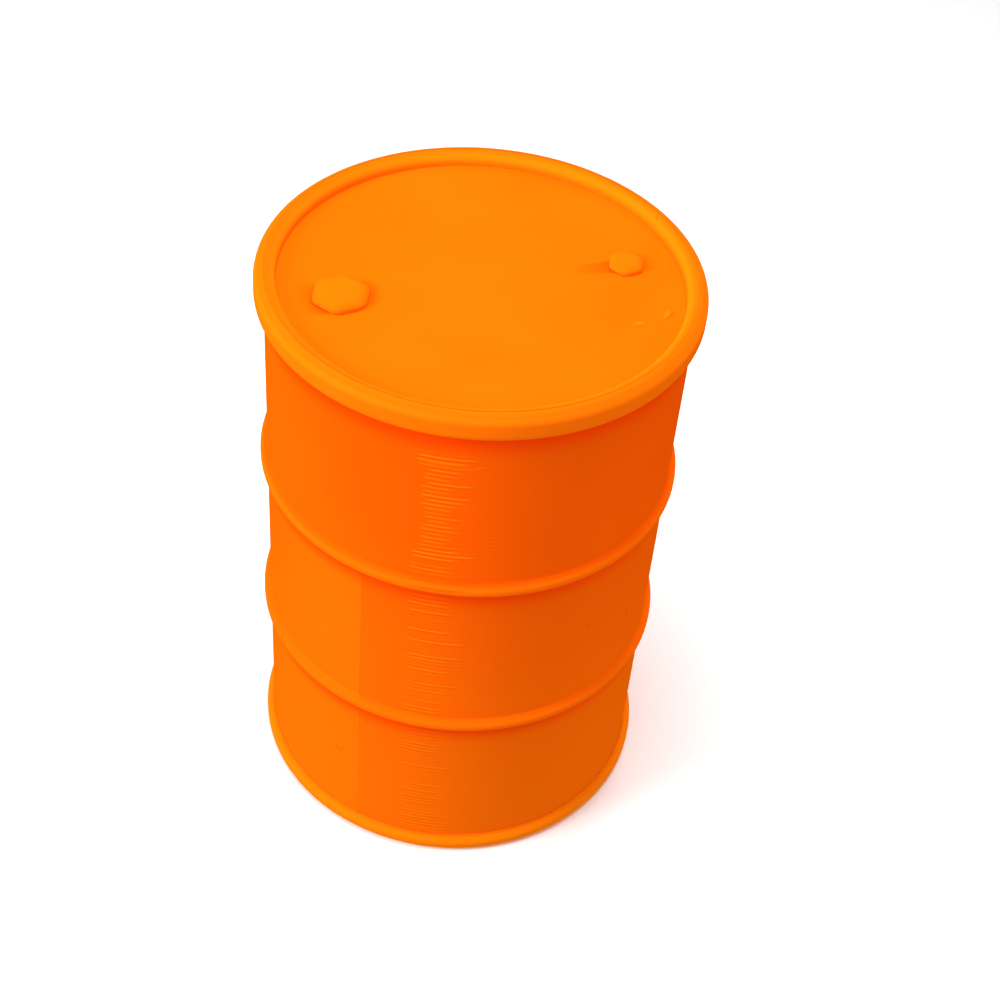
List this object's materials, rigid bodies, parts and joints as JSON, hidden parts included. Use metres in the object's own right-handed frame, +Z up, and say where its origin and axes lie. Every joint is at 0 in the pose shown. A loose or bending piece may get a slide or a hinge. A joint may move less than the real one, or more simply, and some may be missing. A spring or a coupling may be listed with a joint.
{
  "type": "closed-head steel drum",
  "caption": "Orange closed-head steel drum with rolling hoops, chime rings and two hexagonal screw plugs, for marking off a road.",
  "frame": {"origin": "centre of the foot, where the drum's axis meets the ground", "axes": "+Z up along the drum's axis; -Y towards the viewer, so the pour plug is at -X and the vent plug at +X"},
  "size_m": [0.6, 0.6, 0.884],
  "materials": {
    "orange_paint": "satin orange enamel",
    "zinc_plate": "zinc plated",
    "black_rubber": "matt",
    "seam_compound": "matt"
  },
  "bodies": {
    "drum": {"shell": "orange_paint", "top_head": "orange_paint", "bottom_head": "orange_paint", "top_seam_compound": "seam_compound", "bottom_seam_compound": "seam_compound", "top_chime_ring": "orange_paint", "bottom_chime_ring": "orange_paint", "pour_flange": "zinc_plate", "pour_flange_gasket": "black_rubber", "vent_flange": "zinc_plate", "vent_flange_gasket": "black_rubber"},
    "pour_gasket": {"pour_plug_gasket": "black_rubber"},
    "pour_plug": {"pour_plug": "orange_paint"},
    "vent_gasket": {"vent_plug_gasket": "black_rubber"},
    "vent_plug": {"vent_plug": "orange_paint"}
  },
  "joints": [
    {"name": "pour_plug_lift", "type": "slide", "parent": "drum", "child": "pour_gasket", "axis": [0, 0, 1], "range_m": [0, 0.0156]},
    {"name": "pour_plug_turn", "type": "hinge", "parent": "pour_gasket", "child": "pour_plug", "pos_m": [-0.1806, -0.0594, 0.865], "axis": [0, 0, 1], "range_deg": [0, 2520]},
    {"name": "vent_plug_lift", "type": "slide", "parent": "drum", "child": "vent_gasket", "axis": [0, 0, 1], "range_m": [0, 0.012]},
    {"name": "vent_plug_turn", "type": "hinge", "parent": "vent_gasket", "child": "vent_plug", "pos_m": [0.1917, 0.0588, 0.865], "axis": [0, 0, 1], "range_deg": [0, 2340]}
  ],
  "couplings": [
    {"joint": "pour_plug_lift", "follows": "pour_plug_turn", "m_per_rad": 0.00035152},
    {"joint": "vent_plug_lift", "follows": "vent_plug_turn", "m_per_rad": 0.00028876}
  ]
}
